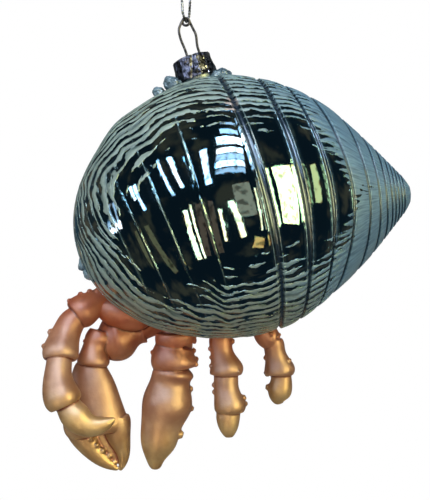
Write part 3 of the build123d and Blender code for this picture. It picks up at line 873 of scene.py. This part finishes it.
tin, tree, main = shader("cap_tin", Metallic=0.8, Specular_IOR_Level=0.3)
spot = place(tree)
creases = cells(tree, spot, 420)
shine = cloud(tree, spot, 520, detail=4)
# White dots on the right side of the cap, where the lamps glint: painted glints
glint_side = apart(tree, spot)[0].fade(0.0032, 0.0042)
painted_glints = (1 - cells(tree, spot, 1300).fade(0.10, 0.24)) * glint_side
tin_colour = tint(tree, shine.fade(0.46, 0.60), rgb(14, 14, 20), rgb(70, 70, 84))
tin_colour = tint(tree, painted_glints, tin_colour, rgb(230, 230, 240))
feed(tree, main, "Base Color", tin_colour)
feed(tree, main, "Roughness", 0.14 + shine * 0.3)
relief(tree, main, creases * 0.7 + cloud(tree, spot, 1500, detail=2) * 0.3, 0.22 * mm)
cap_mesh = bmesh.new()
cap_mesh.from_mesh(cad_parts["end_cap"].data)
bmesh.ops.remove_doubles(cap_mesh, verts=cap_mesh.verts[:], dist=0.001 * mm)
cap_data = bpy.data.meshes.new("end_cap_crumpled")
cap_mesh.to_mesh(cap_data)
cap_mesh.free()
cap_shape = bpy.data.objects.new("end_cap_crumpled", cap_data)
scene.collection.objects.link(cap_shape)
crumpled = remeshed(cap_shape, voxel=0.13)
cap_middle = Vector((2.5, 0, -64.2))
dent_size, dent_depth, fold_half, fold_depth = 3.4, 0.55, 0.45, 0.42
cap_mesh = bmesh.new()
cap_mesh.from_mesh(crumpled)
for vertex in cap_mesh.verts:
    spot_mm = vertex.co / mm
    away = spot_mm - cap_middle
    outward = (away - cap_up * away.dot(cap_up)).normalized()
    dent = (noise.voronoi(spot_mm / dent_size)[0][0] - 0.45) * dent_depth
    ripple = noise.noise(spot_mm / 1.1) * 0.07
    from_fold = away.dot(cap_across) + 0.5 - 0.35 * away.dot(cap_up)
    fold = fold_depth * exp(-(from_fold / fold_half) ** 2) if away.y < 0 else 0
    vertex.co += (outward * (dent + ripple - fold) + cap_up * ripple) * mm
finished("end_cap_crumpled", cap_mesh, "cap", tin, "cap_metal", "end_cap")

# Hanger wire: one bare spring wire, darkened, with drawing marks along it. It is wound into an eye of one
# and a half turns, and its two legs go through the cap and grip the neck from inside.
steel, tree, main = shader("spring_steel", Metallic=0.35, Specular_IOR_Level=0.15)
spot = place(tree)
drawn_marks = cloud(tree, spot, 900, detail=3).fade(0.40, 0.62)
feed(tree, main, "Base Color", tint(tree, drawn_marks, rgb(26, 24, 28), rgb(64, 60, 64)))
feed(tree, main, "Roughness", 0.34 + drawn_marks * 0.12)
relief(tree, main, cloud(tree, spot, 2400), 0.04 * mm)


def eased(points, count=10):
    """A smooth line through all the points, with count pieces between each pair."""
    padded = [points[0] * 2 - points[1], *points, points[-1] * 2 - points[-2]]
    line = []
    for first, second, third, fourth in zip(padded, padded[1:], padded[2:], padded[3:]):
        for number in range(count):
            t = number / count
            bend = first * 2 - second * 5 + third * 4 - fourth
            twist = second * 3 - first - third * 3 + fourth
            line.append((second * 2 + (third - first) * t + bend * t ** 2 + twist * t ** 3) / 2)
    return line + [points[-1]]


cap_top = Vector((1.50, 0, -61.10))
eye_centre, eye_radius, eye_start, eye_turned, eye_parts = Vector((0, 0, -50)), 1.05, 165, 506.6, 24
wire_radius, coil_back = 0.38, 0.53


def cap_place(across, up, back):
    """A point across and up from the middle of the cap's top, in the cap's own lean."""
    return cap_top + cap_across * across + cap_up * up + Vector((0, back, 0))


left_feet = ((-1.35, -14), (-0.85, -7), (-0.85, 0), (-0.85, 3.1))
left_leg = [cap_place(across, up, -coil_back) for across, up in left_feet]
left_leg += [Vector((x, -coil_back, z)) for x, z in ((-1.6, -55.2), (-2.1, -52.6), (-1.6, -50.9))]
eye_line = []
for number in range(1, eye_parts):
    share = number / eye_parts
    angle = radians(eye_start - eye_turned * share)
    back = coil_back * (2 * share - 1)
    eye_line.append(eye_centre + Vector((cos(angle) * eye_radius, back, sin(angle) * eye_radius)))
right_feet = ((3.05, 3.1), (3.05, 0), (3.05, -7), (3.55, -14))
right_leg = [Vector((2.0, coil_back, -51.7)), Vector((2.95, coil_back, -53.8))]
right_leg += [cap_place(across, up, coil_back) for across, up in right_feet]
wire_mesh = bmesh.new()
wire_line = [point * mm for point in eased(left_leg + eye_line + right_leg)]
tube(wire_mesh, wire_line, wire_radius * mm, sides=14)
finished("hanger_wire_steel", wire_mesh, "hanger", steel, "spring_wire", "hanger_wire")

scene.view_settings.view_transform = "Standard"
